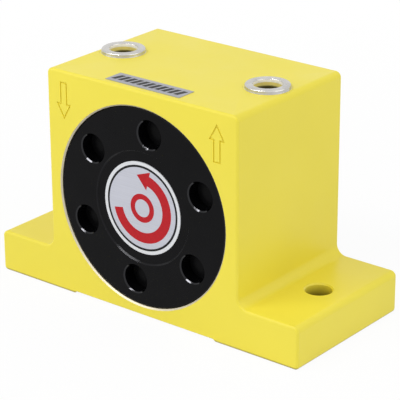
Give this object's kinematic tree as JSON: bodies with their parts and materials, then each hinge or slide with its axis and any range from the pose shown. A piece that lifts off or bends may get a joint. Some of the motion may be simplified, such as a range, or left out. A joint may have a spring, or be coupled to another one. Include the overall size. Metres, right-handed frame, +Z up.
{
  "type": "pneumatic turbine vibration motor",
  "caption": "Foot-mounted air turbine vibrator: block housing with flat wrench covers and threaded ports over an unbalanced wheel on ball bearings.",
  "frame": {"origin": "middle of the base, on the mounting face", "axes": "+X along the feet from the inlet side to the outlet side, +Y from the labelled cover to the rear cover, +Z up"},
  "size_m": [0.128, 0.056, 0.0814],
  "materials": {
    "yellow_paint": "painted satin",
    "black_anodised": "satin anodised",
    "seal_rubber": "matt",
    "label_foil": "satin foil",
    "plated_bush": "bright turned",
    "nozzle_brass": "turned",
    "cage_brass": "machined",
    "gold_anodised": "anodised, milled",
    "bearing_steel": "ground"
  },
  "bodies": {
    "housing_body": {"housing": "yellow_paint", "front_cover": "black_anodised", "rear_cover": "black_anodised", "front_cover_oring": "seal_rubber", "rear_cover_oring": "seal_rubber", "label_disc": "label_foil", "top_label": "label_foil", "inlet_port_bush": "plated_bush", "outlet_port_bush": "plated_bush", "air_nozzle": "nozzle_brass", "front_bearing_outer_ring": "bearing_steel", "front_bearing_seals": "seal_rubber", "front_bearing_shim": "bearing_steel", "rear_bearing_outer_ring": "bearing_steel", "rear_bearing_seals": "seal_rubber", "rear_preload_spring": "bearing_steel"},
    "rotor": {"rotor_wheel": "gold_anodised", "imbalance_slugs": "bearing_steel", "rotor_shaft": "bearing_steel", "rotor_key": "bearing_steel", "shaft_circlips": "bearing_steel", "front_bearing_inner_ring": "bearing_steel", "rear_bearing_inner_ring": "bearing_steel"},
    "front_ball_set": {"front_bearing_balls": "bearing_steel", "front_bearing_cage": "cage_brass"},
    "rear_ball_set": {"rear_bearing_balls": "bearing_steel", "rear_bearing_cage": "cage_brass"}
  },
  "joints": [
    {"name": "rotor_spin", "type": "hinge", "parent": "housing_body", "child": "rotor", "pos_m": [0, 0, 0.0392], "axis": [0, 1, 0], "continuous": true},
    {"name": "front_ball_set_spin", "type": "hinge", "parent": "housing_body", "child": "front_ball_set", "pos_m": [0, 0, 0.0392], "axis": [0, 1, 0], "continuous": true},
    {"name": "rear_ball_set_spin", "type": "hinge", "parent": "housing_body", "child": "rear_ball_set", "pos_m": [0, 0, 0.0392], "axis": [0, 1, 0], "continuous": true}
  ],
  "couplings": [
    {"joint": "front_ball_set_spin", "follows": "rotor_spin", "ratio": 0.36477},
    {"joint": "rear_ball_set_spin", "follows": "rotor_spin", "ratio": 0.36477}
  ]
}
